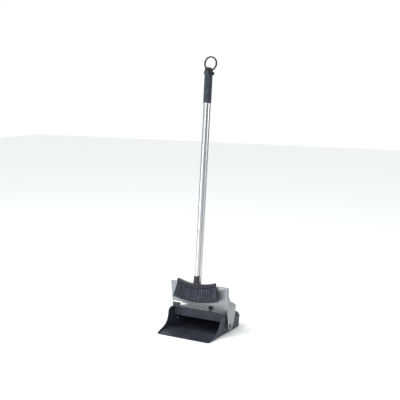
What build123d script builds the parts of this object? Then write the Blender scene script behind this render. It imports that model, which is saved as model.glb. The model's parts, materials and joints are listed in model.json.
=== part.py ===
from build123d import *
import math
import os

# Upright dust pan and hand brush set. The hooded pan swings in a bent sheet
# steel frame on two pivot pins. The frame carries the pan's tall handle, and
# the brush hangs on that handle in an open fork.
# Millimetres. X runs across the pan, Y from the lip towards the back, Z up.
# The origin is the centre of the pan's flat underside.

# Pan
PAN_LENGTH = 282
LIP_WIDTH = 250
BACK_WIDTH = 238
WALL = 2.6
WALL_DRAFT = 3.5
BACK_CORNER_R = 26
HOOD_EDGE_R = 24
BASE_EDGE_R = 5
HOOD_FRONT_Y = -38
HOOD_FRONT_Z = 97
HOOD_BACK_Z = 65
SEAM_DROP = 27
SEAM_BAND = 8
SEAM_PROUD = 1.2
RAMP_HEIGHT = 9
BAFFLE_THICK = 2
BAFFLE_LOW_Z = 49

# Pivot
PIVOT_Y = 15.5
PIVOT_Z = 31
PIN_R = 4
PIN_PLAY = 0.08
BOSS_R = 13
BOSS_FACE_X = 129.5
WASHER_R = 10
PIN_HEAD_R = 9

# Steel frame
SHEET = 1.5
FRAME_HALF = 135
PLATE_LOW_Y = -6
PLATE_LOW_Z = 108
PLATE_LEAN = 6.34
FRAME_TOP = 198
SHELF_DEPTH = 9.5
PLATE_TO_POLE = 11
HEM_R = 2.3
HEM_OUT = 0.8

# Poles, both leaning back by the same angle
POLE_LEAN = 5.7
POLE_R = 9
TUBE_WALL = 1.2
PAN_POLE_FOOT_Y = -24.8
POLE_SPACING = 24
GRIP_R = 10.75
GRIP_LOW = 947
GRIP_TOP = 1074
CAP_R = 11.2
CAP_TOP = 1091
LOOP_CENTRE = 1109
LOOP_R = 30
LOOP_WIDTH = 6
LOOP_DEPTH = 7
FORK_LOW = 1062
FORK_TOP = 1073.7
FORK_GAP = 0.3
FORK_ARM = 1.8
FORK_LUG = 7.5

# Brush
BRUSH_HALF = 92
BLOCK_DEPTH = 22
BLOCK_TOP_MID = 201
BLOCK_TOP_END = 217
BLOCK_LOW_MID = 186
BLOCK_LOW_END = 203
SOCKET_TOP = 234
BRISTLE_END_MID = 123
BRISTLE_END_SIDE = 139
BRISTLE_HALF_LOW = 105
BRISTLE_DEPTH_LOW = 32

# Catch
CATCH_X = 58
CATCH_WIDTH = 21
CATCH_TONGUE = 10.5
KEEPER_Y = -13.6
KEEPER_TOP = 99.5

HALF_LENGTH = PAN_LENGTH / 2
LEAN_SIN = math.sin(math.radians(POLE_LEAN))
LEAN_COS = math.cos(math.radians(POLE_LEAN))
TILT_SIN = math.sin(math.radians(PLATE_LEAN))
TILT_COS = math.cos(math.radians(PLATE_LEAN))
ROOF_SLOPE = (HOOD_FRONT_Z - HOOD_BACK_Z) / (HALF_LENGTH - HOOD_FRONT_Y)


def roof_height(y):
    return HOOD_FRONT_Z - ROOF_SLOPE * (y - HOOD_FRONT_Y)


def across_pole(forward, distance):
    # Plane square to a pole, with its local y pointing back. The pan's pole is
    # at forward 0 and the brush's pole is one pole spacing in front of it.
    spot_y = PAN_POLE_FOOT_Y - forward * LEAN_COS + distance * LEAN_SIN
    spot_z = forward * LEAN_SIN + distance * LEAN_COS
    return Plane(origin=(0, spot_y, spot_z), x_dir=(1, 0, 0), z_dir=(0, LEAN_SIN, LEAN_COS))


def along_pole(forward):
    # Plane holding a pole's axis and facing front, its local y up the pole.
    spot = (0, PAN_POLE_FOOT_Y - forward * LEAN_COS, forward * LEAN_SIN)
    return Plane(origin=spot, x_dir=(1, 0, 0), z_dir=(0, -LEAN_COS, LEAN_SIN))


def off_plate(forward=0):
    # Plane of the steel plate's front face, local y up the plate from its
    # lower edge, facing front.
    spot = (0, PLATE_LOW_Y - forward * TILT_COS, PLATE_LOW_Z - forward * TILT_SIN)
    return Plane(origin=spot, x_dir=(1, 0, 0), z_dir=(0, -TILT_COS, -TILT_SIN))


def save(part, name):
    part.label = name
    export_step(part, "parts/" + name + ".step")


os.makedirs("parts", exist_ok=True)


# Scoop shape shared by the tray and the hood: a drafted box with rounded back
# corners, a roof sloping down to the back and rolled edges all round.
def scoop(inset, front_room):
    back = HALF_LENGTH - inset
    front = -HALF_LENGTH - front_room
    half_front = LIP_WIDTH / 2 - inset
    half_back = BACK_WIDTH / 2 - inset
    with BuildPart() as body:
        with BuildSketch(Plane.XY.offset(inset)):
            with BuildLine():
                Polyline((-half_front, front), (half_front, front), (half_back, back),
                         (-half_back, back), close=True)
            make_face()
            corners = vertices().sort_by(Axis.Y)[-2:]
            fillet(corners, BACK_CORNER_R - inset)
        extrude(amount=140, taper=-WALL_DRAFT)
        with BuildSketch(Plane.YZ):
            with BuildLine():
                Polyline((-250, roof_height(-250) - inset), (250, roof_height(250) - inset),
                         (250, 220), (-250, 220), close=True)
            make_face()
        extrude(amount=250, both=True, mode=Mode.SUBTRACT)
        roof_edges = faces().sort_by(Axis.Z)[-1].edges().sort_by(Axis.Y)[1:]
        fillet(roof_edges, HOOD_EDGE_R - inset)
        base_edges = faces().sort_by(Axis.Z)[0].edges().sort_by(Axis.Y)[1:]
        fillet(base_edges, BASE_EDGE_R - inset * 0.6)
    return body.part


# The mouth's side line sweeps up from the lip to the front of the hood.
def mouth_sweep():
    with BuildPart() as body:
        with BuildSketch(Plane.YZ):
            with BuildLine():
                low = (-HALF_LENGTH, 1.0)
                high = (HOOD_FRONT_Y, HOOD_FRONT_Z + 4)
                Spline(low, (-101, 12), (-67, 30), (-51, 55), high, tangents=[(1, 0.12), (0.35, 1)])
                Line(high, (HOOD_FRONT_Y, 220))
                Line((HOOD_FRONT_Y, 220), (-HALF_LENGTH - 60, 220))
                Line((-HALF_LENGTH - 60, 220), (-HALF_LENGTH - 60, 1.0))
                Line((-HALF_LENGTH - 60, 1.0), low)
            make_face()
        extrude(amount=200, both=True)
    return body.part


outer_scoop = scoop(0, 0)
inner_scoop = scoop(WALL, 60)
proud_scoop = scoop(-SEAM_PROUD, 0)
sweep_cut = mouth_sweep()
seam_plane = Plane(origin=(0, HOOD_FRONT_Y, HOOD_FRONT_Z - SEAM_DROP), x_dir=(1, 0, 0),
                   z_dir=(0, ROOF_SLOPE, 1))
band_plane = Plane(origin=(0, HOOD_FRONT_Y, HOOD_FRONT_Z - SEAM_DROP + SEAM_BAND),
                   x_dir=(1, 0, 0), z_dir=(0, ROOF_SLOPE, 1))

with BuildPart() as pan_shell:
    add(outer_scoop)
    add(inner_scoop, mode=Mode.SUBTRACT)
    add(sweep_cut, mode=Mode.SUBTRACT)

# Tray: floor with a low ramp behind the lip, side and back walls, and a round
# boss on each side for the pivot pin.
with BuildPart() as pan_tray:
    add(pan_shell.part)
    split(bisect_by=seam_plane, keep=Keep.BOTTOM)
    with BuildSketch(Plane.YZ.offset(-LIP_WIDTH / 2 + 3)):
        with BuildLine():
            Polyline((-132, WALL - 0.5), (-56, WALL + RAMP_HEIGHT), (-50, WALL + RAMP_HEIGHT),
                     (-46, WALL - 0.5), close=True)
        make_face()
    extrude(amount=LIP_WIDTH - 6)
    with BuildSketch(Plane.YZ.offset(BOSS_FACE_X)):
        with Locations((PIVOT_Y, PIVOT_Z)):
            Circle(BOSS_R)
    extrude(amount=-7)
    with BuildSketch(Plane.YZ.offset(-BOSS_FACE_X)):
        with Locations((PIVOT_Y, PIVOT_Z)):
            Circle(BOSS_R)
    extrude(amount=7)
    with BuildSketch(Plane.YZ):
        with Locations((PIVOT_Y, PIVOT_Z)):
            Circle(PIN_R + PIN_PLAY)
    extrude(amount=150, both=True, mode=Mode.SUBTRACT)
save(pan_tray.part, "pan_tray")

# Hood: roof with rolled sides, a proud band along its lower edge, and a small
# keeper post in front of the catch.
with BuildPart() as seam_band:
    add(proud_scoop)
    add(outer_scoop, mode=Mode.SUBTRACT)
    add(sweep_cut, mode=Mode.SUBTRACT)
    split(bisect_by=seam_plane, keep=Keep.TOP)
    split(bisect_by=band_plane, keep=Keep.BOTTOM)

with BuildPart() as pan_hood:
    add(pan_shell.part)
    split(bisect_by=seam_plane, keep=Keep.TOP)
    add(seam_band.part)
    with BuildSketch(Plane.XY.offset(KEEPER_TOP)):
        with Locations((CATCH_X, KEEPER_Y)):
            Rectangle(8, 3)
    extrude(amount=-8.5)
save(pan_hood.part, "pan_hood")

# Baffle: thin panel hanging across the inside of the hood.
with BuildPart() as inner_baffle:
    with BuildSketch(Plane.XZ.offset(2)):
        with Locations((0, BAFFLE_LOW_Z + 30)):
            Rectangle(2 * FRAME_HALF, 60)
    extrude(amount=BAFFLE_THICK)
    add(inner_scoop, mode=Mode.INTERSECT)
save(inner_baffle.part, "inner_baffle")


# Pivot on each side: a spacer washer against the boss, a headed pin through
# frame and wall, and a push-on retainer on the pin's inner end.
def pivot_set(side, name):
    inner_face = BOSS_FACE_X - 7 - 1.5
    with BuildPart() as washer:
        with BuildSketch(Plane.YZ.offset(side * BOSS_FACE_X)):
            with Locations((PIVOT_Y, PIVOT_Z)):
                Circle(WASHER_R)
                Circle(PIN_R + PIN_PLAY, mode=Mode.SUBTRACT)
        extrude(amount=side * (FRAME_HALF - SHEET - BOSS_FACE_X - 0.3))
    save(washer.part, "pivot_washer_" + name)
    with BuildPart() as pin:
        with BuildSketch(Plane.YZ.offset(side * (inner_face - 5))):
            with Locations((PIVOT_Y, PIVOT_Z)):
                Circle(PIN_R)
        extrude(amount=side * (FRAME_HALF + 1 - inner_face + 5))
        with BuildSketch(Plane.YZ.offset(side * FRAME_HALF)):
            with Locations((PIVOT_Y, PIVOT_Z)):
                Circle(PIN_HEAD_R)
        extrude(amount=side * 3.2)
        head = edges().filter_by(GeomType.CIRCLE).sort_by(Axis.X)[-1 if side > 0 else 0]
        fillet(head, 2.4)
    save(pin.part, "pivot_pin_" + name)
    with BuildPart() as retainer:
        with BuildSketch(Plane.YZ.offset(side * (inner_face - 4))):
            with Locations((PIVOT_Y, PIVOT_Z)):
                Circle(7)
                Circle(PIN_R, mode=Mode.SUBTRACT)
        extrude(amount=side * 2)
    save(retainer.part, "pin_retainer_" + name)


pivot_set(1, "right")
pivot_set(-1, "left")

# Steel frame: one sheet bent into a front plate, two side cheeks reaching down
# to the pivots, and a shelf along the top under the pan's pole.
channel_plane = Plane(origin=(0, PLATE_LOW_Y, PLATE_LOW_Z), x_dir=(1, 0, 0),
                      z_dir=(0, -TILT_SIN, TILT_COS))

with BuildPart() as cheek_outline:
    with BuildSketch(Plane.YZ):
        with BuildLine():
            Polyline((-60, 230), (5, 230), (6, 158), (19, 137), (67, 111.6), (60.3, 73),
                     (44, 36), (25.9, 20.2), (PIVOT_Y - 15, PIVOT_Z), (-60, PIVOT_Z), close=True)
        make_face()
        fillet(vertices().sort_by_distance((6, 158))[0], 18)
        fillet(vertices().sort_by_distance((19, 137))[0], 14)
        fillet(vertices().sort_by_distance((67, 111.6))[0], 4)
        fillet(vertices().sort_by_distance((44, 36))[0], 20)
        with Locations((PIVOT_Y, PIVOT_Z)):
            Circle(15)
    extrude(amount=160, both=True)

with BuildPart() as frame_plate:
    with BuildSketch(channel_plane.offset(-100)) as channel:
        with Locations((0, 50)):
            Rectangle(2 * FRAME_HALF, 100)
        fillet(channel.vertices().sort_by(Axis.Y)[:2], 4)
        with BuildSketch(mode=Mode.SUBTRACT) as hollow:
            with Locations((0, 50 + SHEET)):
                Rectangle(2 * (FRAME_HALF - SHEET), 100)
            fillet(hollow.vertices().sort_by(Axis.Y)[:2], 2.5)
    extrude(amount=200)
    add(cheek_outline.part, mode=Mode.INTERSECT)
    with BuildSketch(channel_plane.offset(-100)):
        with Locations((0, 40)):
            Rectangle(2 * (FRAME_HALF - SHEET), 100)
    extrude(amount=100, mode=Mode.SUBTRACT)
    split(bisect_by=across_pole(0, FRAME_TOP), keep=Keep.BOTTOM)
    with BuildSketch(across_pole(0, FRAME_TOP)):
        with Locations((0, (SHELF_DEPTH - PLATE_TO_POLE + 0.5) / 2)):
            Rectangle(2 * FRAME_HALF - 6, SHELF_DEPTH + PLATE_TO_POLE - 0.5)
    extrude(amount=-SHEET)
    with BuildSketch(across_pole(0, FRAME_TOP)):
        Circle(2.5)
    extrude(amount=-4, mode=Mode.SUBTRACT)
    with BuildSketch(Plane.YZ.offset(-FRAME_HALF + 4)):
        with Locations((PLATE_LOW_Y - HEM_OUT, PLATE_LOW_Z - 1.2)):
            Circle(HEM_R)
    extrude(amount=2 * FRAME_HALF - 8)
    with BuildSketch(Plane.YZ):
        with Locations((PIVOT_Y, PIVOT_Z)):
            Circle(PIN_R)
    extrude(amount=150, both=True, mode=Mode.SUBTRACT)
save(frame_plate.part, "frame_plate")

# Catch: a moulded slide that wraps the rolled edge, with a tongue standing
# behind the keeper post. It slides sideways to clear the post.
with BuildPart() as lock_catch:
    with BuildSketch(Plane.YZ.offset(CATCH_X - CATCH_WIDTH / 2)):
        with Locations((PLATE_LOW_Y - HEM_OUT, PLATE_LOW_Z - 1.2)):
            Circle(HEM_R + 2.3)
        with BuildLine():
            Polyline((PLATE_LOW_Y - 5.4, PLATE_LOW_Z - 1), (PLATE_LOW_Y - 2, PLATE_LOW_Z - 1),
                     (PLATE_LOW_Y - 0.6, PLATE_LOW_Z - CATCH_TONGUE),
                     (PLATE_LOW_Y - 3.8, PLATE_LOW_Z - CATCH_TONGUE), close=True)
        make_face()
    extrude(amount=CATCH_WIDTH)
    with BuildSketch(Plane.YZ.offset(CATCH_X - CATCH_WIDTH / 2 - 1)):
        with Locations((PLATE_LOW_Y - HEM_OUT, PLATE_LOW_Z - 1.2)):
            Circle(HEM_R + 0.3)
    extrude(amount=CATCH_WIDTH + 2, mode=Mode.SUBTRACT)
    with BuildSketch(off_plate(-SHEET - 0.3)):
        with Locations((CATCH_X, 6)):
            Rectangle(CATCH_WIDTH + 2, 12)
    extrude(amount=SHEET + 0.6, mode=Mode.SUBTRACT)
save(lock_catch.part, "lock_catch")


# Drawn aluminium tube, open at both ends.
def pole(forward, low, high, name):
    with BuildPart() as tube:
        with BuildSketch(across_pole(forward, low)):
            Circle(POLE_R)
            Circle(POLE_R - TUBE_WALL, mode=Mode.SUBTRACT)
        extrude(amount=high - low)
    save(tube.part, name)


# Soft sleeve over the top of a tube.
def grip(forward, name):
    with BuildPart() as sleeve:
        with BuildSketch(across_pole(forward, GRIP_LOW)):
            Circle(GRIP_R)
            Circle(POLE_R, mode=Mode.SUBTRACT)
        extrude(amount=GRIP_TOP - GRIP_LOW)
    save(sleeve.part, name)


pole(0, FRAME_TOP + 2, GRIP_TOP, "pan_pole")
pole(POLE_SPACING, BLOCK_TOP_MID + 4, GRIP_TOP, "brush_pole")
grip(0, "pan_grip")
grip(POLE_SPACING, "brush_grip")

# Foot plug: fills the bottom of the pan's pole and stands on the shelf.
with BuildPart() as pole_plug:
    with BuildSketch(across_pole(0, FRAME_TOP)):
        Circle(POLE_R)
    extrude(amount=2)
    with BuildSketch(across_pole(0, FRAME_TOP + 2)):
        Circle(POLE_R - TUBE_WALL)
    extrude(amount=24)
    with BuildSketch(across_pole(0, FRAME_TOP)):
        Circle(2.5)
    extrude(amount=18, mode=Mode.SUBTRACT)
save(pole_plug.part, "pole_plug")

# Screw: pulls the plug down onto the shelf from below.
with BuildPart() as pole_screw:
    with BuildSketch(across_pole(0, FRAME_TOP - SHEET)):
        Circle(4.6)
    extrude(amount=-3)
    with BuildSketch(across_pole(0, FRAME_TOP - SHEET)):
        Circle(2.5)
    extrude(amount=17)
save(pole_screw.part, "pole_screw")

# Hanging loop: flat moulded ring, its plane facing front.
with BuildPart() as hanging_loop:
    with BuildSketch(along_pole(0)):
        with Locations((0, LOOP_CENTRE)):
            Circle(LOOP_R)
            Circle(LOOP_R - LOOP_WIDTH, mode=Mode.SUBTRACT)
    extrude(amount=LOOP_DEPTH / 2, both=True)
save(hanging_loop.part, "hanging_loop")

# Cap: plugs the pan's pole and holds the loop in a slot across its top.
with BuildPart() as pan_cap:
    with BuildSketch(across_pole(0, GRIP_TOP)):
        Circle(CAP_R)
    extrude(amount=CAP_TOP - GRIP_TOP)
    fillet(faces().sort_by(Axis.Z)[-1].edges(), 1.5)
    with BuildSketch(across_pole(0, GRIP_TOP)):
        Circle(POLE_R - TUBE_WALL)
    extrude(amount=-20)
    add(hanging_loop.part, mode=Mode.SUBTRACT)
    with BuildSketch(along_pole(0).offset(LOOP_DEPTH / 2)):
        with Locations((0, LOOP_CENTRE)):
            Circle(LOOP_R - LOOP_WIDTH / 2)
    extrude(amount=-LOOP_DEPTH - 20, mode=Mode.SUBTRACT)
save(pan_cap.part, "pan_cap")

# Fork: a ring clamped on the pan's grip, with two straight arms to the front
# and a lug on its right for the clamp screw.
with BuildPart() as brush_fork:
    with BuildSketch(across_pole(0, FORK_LOW)):
        Circle(GRIP_R + FORK_GAP + FORK_ARM)
        with Locations((0, -POLE_SPACING / 2 - 3)):
            Rectangle(2 * (GRIP_R + FORK_GAP + FORK_ARM), POLE_SPACING + 6)
        with Locations((GRIP_R + FORK_LUG / 2 + 0.3, 0)):
            Rectangle(FORK_LUG, 7)
        Circle(GRIP_R, mode=Mode.SUBTRACT)
        with Locations((0, -POLE_SPACING)):
            Circle(GRIP_R + FORK_GAP, mode=Mode.SUBTRACT)
        with Locations((0, -POLE_SPACING - 10)):
            Rectangle(2 * (GRIP_R + FORK_GAP), 20, mode=Mode.SUBTRACT)
    extrude(amount=FORK_TOP - FORK_LOW)
save(brush_fork.part, "brush_fork")

# Brush cap: plug with a collar that rests on the fork, and a rounded top.
with BuildPart() as brush_cap:
    with BuildSketch(across_pole(POLE_SPACING, GRIP_TOP)):
        Circle(CAP_R + 0.6)
    extrude(amount=4)
    with BuildSketch(across_pole(POLE_SPACING, GRIP_TOP + 4)):
        Circle(GRIP_R)
    extrude(amount=13.5)
    with BuildSketch(across_pole(POLE_SPACING, GRIP_TOP)):
        Circle(POLE_R - TUBE_WALL)
    extrude(amount=-20)
    fillet(faces().sort_by(Axis.Z)[-1].edges(), 3)
save(brush_cap.part, "brush_cap")

# Brush block: saddle-shaped bar with a tapered socket for the pole.
with BuildPart() as brush_block:
    with BuildSketch(along_pole(POLE_SPACING)):
        with BuildLine():
            ThreePointArc((-BRUSH_HALF, BLOCK_TOP_END), (0, BLOCK_TOP_MID),
                          (BRUSH_HALF, BLOCK_TOP_END))
            Line((BRUSH_HALF, BLOCK_TOP_END), (BRUSH_HALF, BLOCK_LOW_END))
            ThreePointArc((BRUSH_HALF, BLOCK_LOW_END), (0, BLOCK_LOW_MID),
                          (-BRUSH_HALF, BLOCK_LOW_END))
            Line((-BRUSH_HALF, BLOCK_LOW_END), (-BRUSH_HALF, BLOCK_TOP_END))
        make_face()
    extrude(amount=BLOCK_DEPTH / 2, both=True)
    ends = edges().filter_by(lambda e: abs(e.center().X) > BRUSH_HALF - 0.1)
    fillet(ends.filter_by(lambda e: abs(e.tangent_at(0.5).Z) > 0.9), 8)
    with BuildSketch(across_pole(POLE_SPACING, BLOCK_TOP_MID - 2)):
        Circle(12.8)
    extrude(amount=SOCKET_TOP - BLOCK_TOP_MID + 2, taper=1.2)
    with BuildSketch(across_pole(POLE_SPACING, BLOCK_TOP_MID + 4)):
        Circle(POLE_R)
    extrude(amount=60, mode=Mode.SUBTRACT)
save(brush_block.part, "brush_block")

# Pole end: plug inside the brush tube, seated in the socket.
with BuildPart() as brush_plug:
    with BuildSketch(across_pole(POLE_SPACING, BLOCK_TOP_MID + 4)):
        Circle(POLE_R - TUBE_WALL)
    extrude(amount=26)
save(brush_plug.part, "brush_plug")

# Bristles: one soft block, wider and deeper towards its curved free end.
with BuildPart() as bristles:
    with BuildSketch(along_pole(POLE_SPACING)):
        with BuildLine():
            Line((-BRUSH_HALF + 4, BLOCK_LOW_END + 6), (-BRUSH_HALF + 4, BLOCK_LOW_END - 2))
            Line((-BRUSH_HALF + 4, BLOCK_LOW_END - 2), (-BRISTLE_HALF_LOW, BRISTLE_END_SIDE))
            ThreePointArc((-BRISTLE_HALF_LOW, BRISTLE_END_SIDE), (0, BRISTLE_END_MID),
                          (BRISTLE_HALF_LOW, BRISTLE_END_SIDE))
            Line((BRISTLE_HALF_LOW, BRISTLE_END_SIDE), (BRUSH_HALF - 4, BLOCK_LOW_END - 2))
            Line((BRUSH_HALF - 4, BLOCK_LOW_END - 2), (BRUSH_HALF - 4, BLOCK_LOW_END + 6))
            ThreePointArc((BRUSH_HALF - 4, BLOCK_LOW_END + 6), (0, BLOCK_LOW_MID + 6),
                          (-BRUSH_HALF + 4, BLOCK_LOW_END + 6))
        make_face()
    extrude(amount=BRISTLE_DEPTH_LOW / 2, both=True)
    with BuildSketch(across_pole(POLE_SPACING, BRISTLE_END_MID - 1)):
        Rectangle(300, BRISTLE_DEPTH_LOW)
    with BuildSketch(across_pole(POLE_SPACING, BLOCK_LOW_MID + 18)):
        Rectangle(300, BLOCK_DEPTH - 5)
    loft(mode=Mode.INTERSECT)
    add(brush_block.part, mode=Mode.SUBTRACT)
save(bristles.part, "bristles")
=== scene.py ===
import json
import math

import bmesh
import bpy
from mathutils import Matrix, Vector


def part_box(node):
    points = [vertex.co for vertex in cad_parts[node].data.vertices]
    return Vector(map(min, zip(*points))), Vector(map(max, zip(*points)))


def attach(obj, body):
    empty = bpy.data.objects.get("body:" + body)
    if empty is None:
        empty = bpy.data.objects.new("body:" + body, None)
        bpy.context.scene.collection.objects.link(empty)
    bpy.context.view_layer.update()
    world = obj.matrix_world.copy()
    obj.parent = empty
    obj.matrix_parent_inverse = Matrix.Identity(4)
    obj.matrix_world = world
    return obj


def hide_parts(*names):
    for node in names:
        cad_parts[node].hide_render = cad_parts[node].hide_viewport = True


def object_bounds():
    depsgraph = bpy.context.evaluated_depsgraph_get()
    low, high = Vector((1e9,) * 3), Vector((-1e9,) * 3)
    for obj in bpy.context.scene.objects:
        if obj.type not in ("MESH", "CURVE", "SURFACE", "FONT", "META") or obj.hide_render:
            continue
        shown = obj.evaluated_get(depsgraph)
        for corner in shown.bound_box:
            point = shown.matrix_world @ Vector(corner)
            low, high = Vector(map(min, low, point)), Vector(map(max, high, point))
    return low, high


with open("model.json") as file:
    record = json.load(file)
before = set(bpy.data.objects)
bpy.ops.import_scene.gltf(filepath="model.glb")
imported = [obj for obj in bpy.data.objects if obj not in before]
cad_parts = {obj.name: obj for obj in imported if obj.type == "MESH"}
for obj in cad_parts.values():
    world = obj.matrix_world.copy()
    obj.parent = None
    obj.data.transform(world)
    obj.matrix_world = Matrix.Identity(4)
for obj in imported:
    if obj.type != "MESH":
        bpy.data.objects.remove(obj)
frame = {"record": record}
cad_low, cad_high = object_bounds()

# ---------------------------------------------------------------- the room
# A pale matt floor, a large soft light overhead and to the left, and weaker
# ones to the right and low in front, with the set seen from its front right.
MM = 0.001


class Signal:
    """One output of a shader node; sums and products of signals add Math nodes."""

    def __init__(self, finish, socket):
        self.finish = finish
        self.socket = socket

    def math(self, operation, first, second):
        return self.finish.add("ShaderNodeMath", {"operation": operation}, {0: first, 1: second})

    def __add__(self, other):
        return self.math("ADD", self, other)

    def __radd__(self, other):
        return self.math("ADD", other, self)

    def __sub__(self, other):
        return self.math("SUBTRACT", self, other)

    def __rsub__(self, other):
        return self.math("SUBTRACT", other, self)

    def __mul__(self, other):
        return self.math("MULTIPLY", self, other)

    def __rmul__(self, other):
        return self.math("MULTIPLY", other, self)


class Finish:
    """A surface finish: one Principled shader and the nodes that feed it."""

    def __init__(self, name, **sockets):
        self.material = bpy.data.materials.new(name)
        self.material.use_nodes = True
        self.tree = self.material.node_tree
        self.shader = self.tree.nodes["Principled BSDF"]
        self.set(**sockets)

    def set(self, **sockets):
        for name, value in sockets.items():
            self.feed(self.shader.inputs[name.replace("_", " ")], value)

    def feed(self, socket, value):
        if isinstance(value, Signal):
            self.tree.links.new(value.socket, socket)
        elif isinstance(value, tuple) and len(value) == 3 and socket.type == "RGBA":
            socket.default_value = (*value, 1)
        else:
            socket.default_value = value

    def add(self, kind, settings, inputs, output=0):
        node = self.tree.nodes.new(kind)
        for name, value in settings.items():
            setattr(node, name, value)
        for name, value in inputs.items():
            self.feed(node.inputs[name], value)
        return Signal(self, node.outputs[output])

    def place(self, scale=(1, 1, 1), turn=(0, 0, 0)):
        spot = self.add("ShaderNodeTexCoord", {}, {}, "Object")
        return self.add("ShaderNodeMapping", {}, {"Vector": spot, "Scale": scale, "Rotation": turn})

    def grain(self, scale, detail=3, rough=0.5, stretch=(1, 1, 1), turn=(0, 0, 0)):
        spot = self.place(stretch, turn)
        return self.add("ShaderNodeTexNoise", {}, {"Vector": spot, "Scale": scale,
                                                   "Detail": detail, "Roughness": rough})

    def ramp(self, signal, low, high, start=0.0, end=1.0):
        return self.add("ShaderNodeMapRange", {}, {"Value": signal, "From Min": low, "From Max": high,
                                                   "To Min": start, "To Max": end})

    def blend(self, factor, first, second):
        return self.add("ShaderNodeMix", {"data_type": "RGBA"},
                        {0: factor, 6: first, 7: second}, 2)

    def bump(self, height, strength, distance):
        self.set(Normal=self.add("ShaderNodeBump", {}, {"Height": height, "Strength": strength,
                                                        "Distance": distance}))


def keep(mesh_object, finish, body, nodes=()):
    """Gives a made piece its finish and its body, and hides the parts that it stands for."""
    mesh_object.data.materials.clear()
    mesh_object.data.materials.append(finish.material)
    if nodes:
        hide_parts(*nodes)
    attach(mesh_object, body)
    return mesh_object


def piece(name, points, faces, sharp=35):
    """A mesh object from points in millimetres."""
    mesh = bpy.data.meshes.new(name)
    mesh.from_pydata([Vector(p) * MM for p in points], [], faces)
    work = bmesh.new()
    work.from_mesh(mesh)
    bmesh.ops.remove_doubles(work, verts=work.verts, dist=0.00001)
    bmesh.ops.dissolve_degenerate(work, edges=work.edges, dist=0.000005)
    bmesh.ops.recalc_face_normals(work, faces=work.faces)
    work.to_mesh(mesh)
    work.free()
    mesh.shade_smooth()
    mesh.set_sharp_from_angle(angle=math.radians(sharp))
    made = bpy.data.objects.new(name, mesh)
    bpy.context.collection.objects.link(made)
    return made


FLOOR_HALF = 9000
FLOOR_Z = -0.4
floor_finish = Finish("pale_floor", Base_Color=(0.97, 0.955, 0.945))
floor_finish.set(Roughness=floor_finish.ramp(floor_finish.grain(3), 0, 1, 0.62, 0.78))
floor_corners = [(x * FLOOR_HALF, y * FLOOR_HALF, FLOOR_Z) for x, y in ((-1, -1), (1, -1), (1, 1), (-1, 1))]
floor = piece("floor", floor_corners, [(0, 1, 2, 3)])
floor.data.materials.append(floor_finish.material)

world = bpy.data.worlds.new("studio")
bpy.context.scene.world = world
world.use_nodes = True


class Studio(Finish):
    """The light all round: cool white, with a dark screen at each side for the metal to mirror."""

    def __init__(self, surroundings):
        self.tree = surroundings.node_tree
        self.shader = self.tree.nodes["Background"]

    def toward(self, way):
        looking_at = self.add("ShaderNodeTexCoord", {}, {}, "Generated")
        return self.add("ShaderNodeVectorMath", {"operation": "DOT_PRODUCT"}, {0: looking_at, 1: way}, 1)


studio = Studio(world)
right_screen = studio.ramp(studio.toward((0.859, 0.512, 0)), 0.6, 0.88)
left_screen = studio.ramp(studio.toward((-0.95, -0.31, 0)), 0.78, 0.94)
backdrop = studio.add("ShaderNodeLightPath", {}, {}, "Is Camera Ray")
studio.set(Color=studio.blend(backdrop, (0.94, 0.98, 1.0), (1, 1, 1)),
           Strength=1.03 - (right_screen * 0.84 + left_screen * 0.55) * (1 - backdrop))
bpy.context.scene.view_settings.view_transform = "Standard"
height = cad_high[2] - cad_low[2]
middle = Vector((0, 0, 0.485 * height))


def soft_light(name, spot, size, power):
    lamp = bpy.data.lights.new(name, "AREA")
    lamp.size = size
    lamp.energy = power
    lamp.color = (0.95, 0.985, 1.0)
    made = bpy.data.objects.new(name, lamp)
    made.location = spot
    made.rotation_euler = (middle - Vector(spot)).to_track_quat("-Z", "Y").to_euler()
    bpy.context.collection.objects.link(made)


soft_light("overhead_left", (-1.6, -1.5, 3.2), 1.6, 70)
soft_light("front_right", (2.6, -1.6, 1.6), 1.2, 18)
soft_light("front_low", (0.3, -2.6, 0.5), 0.8, 18)

view_turn = math.radians(30.8)
view_drop = math.radians(8.5)
view_far = 3.282
camera_data = bpy.data.cameras.new("camera")
camera_data.sensor_width = 36
camera_data.lens = 72
camera = bpy.data.objects.new("camera", camera_data)
looking = Vector((-math.sin(view_turn) * math.cos(view_drop),
                  math.cos(view_turn) * math.cos(view_drop), -math.sin(view_drop)))
camera.location = middle - looking * view_far
camera.rotation_euler = looking.to_track_quat("-Z", "Y").to_euler()
bpy.context.collection.objects.link(camera)
bpy.context.scene.camera = camera

# ----------------------------------------------------------------- the pan
# A tray and a hood, each moulded in one piece from black plastic and snapped
# together along a proud band. A thin baffle hangs inside the hood.
PAN_HALF_LENGTH = 141
LIP_HALF = 125
BACK_HALF = 119
WALL = 2.6
DRAFT = math.tan(math.radians(3.5))
CORNER_R = 26
BASE_R = 5
LIP_R = 7
HOOD_R = 24
HOOD_FRONT_Y = -38
HOOD_FRONT_Z = 97
HOOD_BACK_Z = 65
SEAM_DROP = 27
BAND = 8
ROOF_SLOPE = (HOOD_FRONT_Z - HOOD_BACK_Z) / (PAN_HALF_LENGTH - HOOD_FRONT_Y)
SIDE_STEPS = 36
CORNER_STEPS = 10
BACK_STEPS = 28


def roof_z(y):
    return HOOD_FRONT_Z - ROOF_SLOPE * (y - HOOD_FRONT_Y)


def half_width(y):
    """Half the pan's width at the floor, its lip corners cut by a small arc."""
    past = min(LIP_R, max(0, LIP_R - PAN_HALF_LENGTH - y))
    cut = LIP_R - math.sqrt(LIP_R ** 2 - past ** 2)
    return LIP_HALF - cut + (BACK_HALF - LIP_HALF) * (y + PAN_HALF_LENGTH) / (2 * PAN_HALF_LENGTH)


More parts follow.
